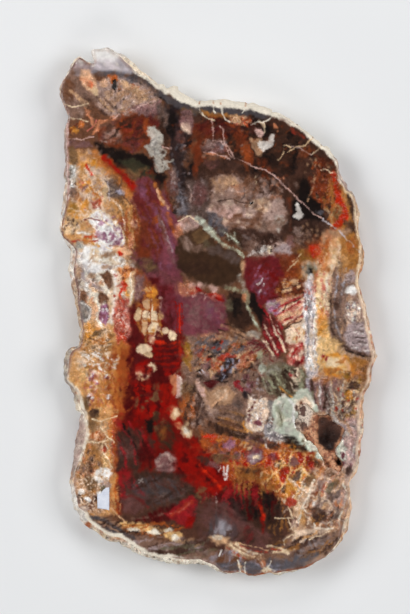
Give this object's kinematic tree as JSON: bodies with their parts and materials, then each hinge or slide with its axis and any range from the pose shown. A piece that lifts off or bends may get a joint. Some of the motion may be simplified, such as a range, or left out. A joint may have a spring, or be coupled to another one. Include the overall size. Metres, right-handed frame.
{
  "type": "petrified araucaria wood slab",
  "caption": "Polished cross-cut slab of petrified wood with a ribbed bark side, a crystal-lined hollow and a blank label, lying on its sawn back.",
  "frame": {"origin": "middle of the slab's box, on its sawn back, the plane it lies on", "axes": "+Z out of the polished face, +Y along the slab towards its pointed horn, +X across it"},
  "size_m": [0.3186, 0.5314, 0.0306],
  "materials": {
    "polished_wood_stone": "polished face of agate and jasper in red, amber, cream, violet and black, dull pale bark side, sawn back",
    "rusty_quartz_crust": "rough granular quartz, stained rust orange on the ledge and maroon brown in the deep hole",
    "label_paper": "matte bluish white paper, blank, one corner torn"
  },
  "bodies": {
    "root": {"slab": "polished_wood_stone", "vug_crust": "rusty_quartz_crust", "label": "label_paper"}
  },
  "joints": []
}
